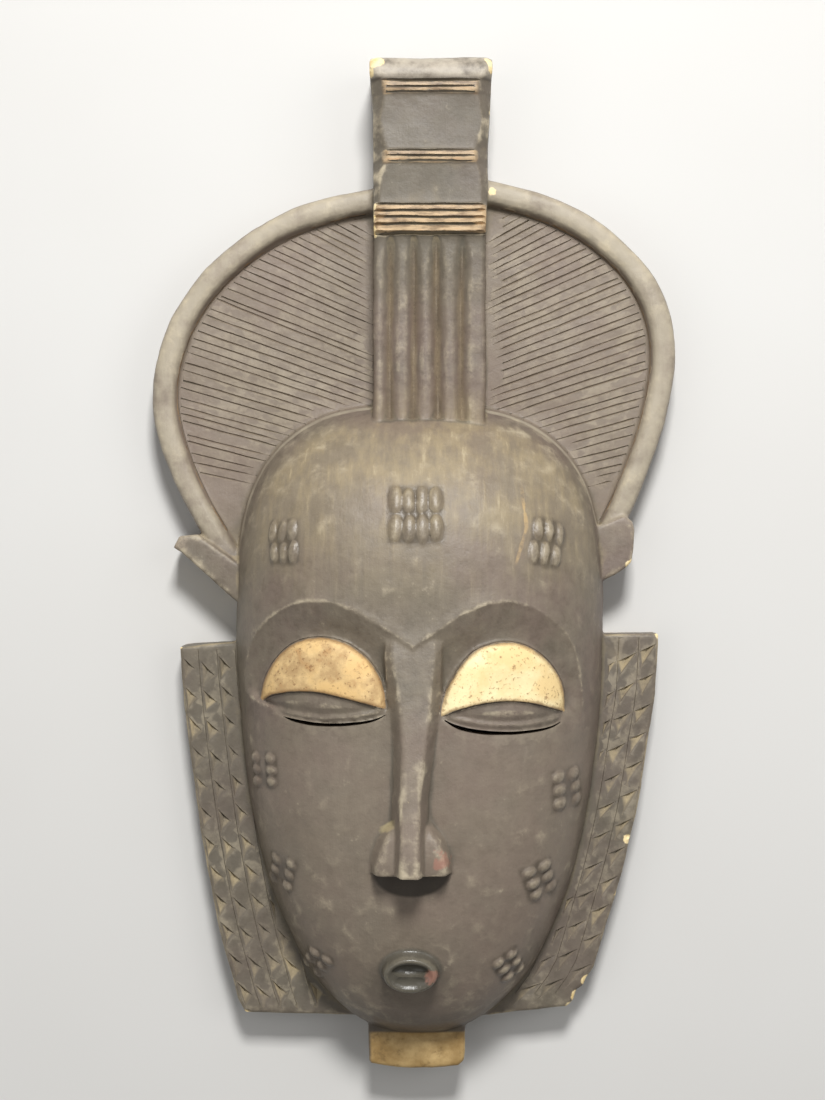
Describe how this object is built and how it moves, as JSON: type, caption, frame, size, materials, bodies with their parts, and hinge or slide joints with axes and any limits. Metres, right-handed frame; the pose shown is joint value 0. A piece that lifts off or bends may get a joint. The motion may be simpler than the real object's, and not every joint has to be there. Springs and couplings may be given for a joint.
{
  "type": "carved wooden face mask",
  "caption": "Hollow carved face mask with a round hatched crest, a fluted column above it, chip-carved side wings and a tab under the chin.",
  "frame": {"origin": "centre of the bounding box at the flat back, on the surface that the mask lies on", "axes": "+Z out of the face, +Y from the chin up to the column's top, +X to the right of someone who looks at the face"},
  "size_m": [0.2484, 0.472, 0.0918],
  "materials": {
    "painted_wood": "worn dark brown paint with pale dust and bare wood at the edges"
  },
  "bodies": {
    "root": {"mask": "painted_wood"}
  },
  "joints": []
}
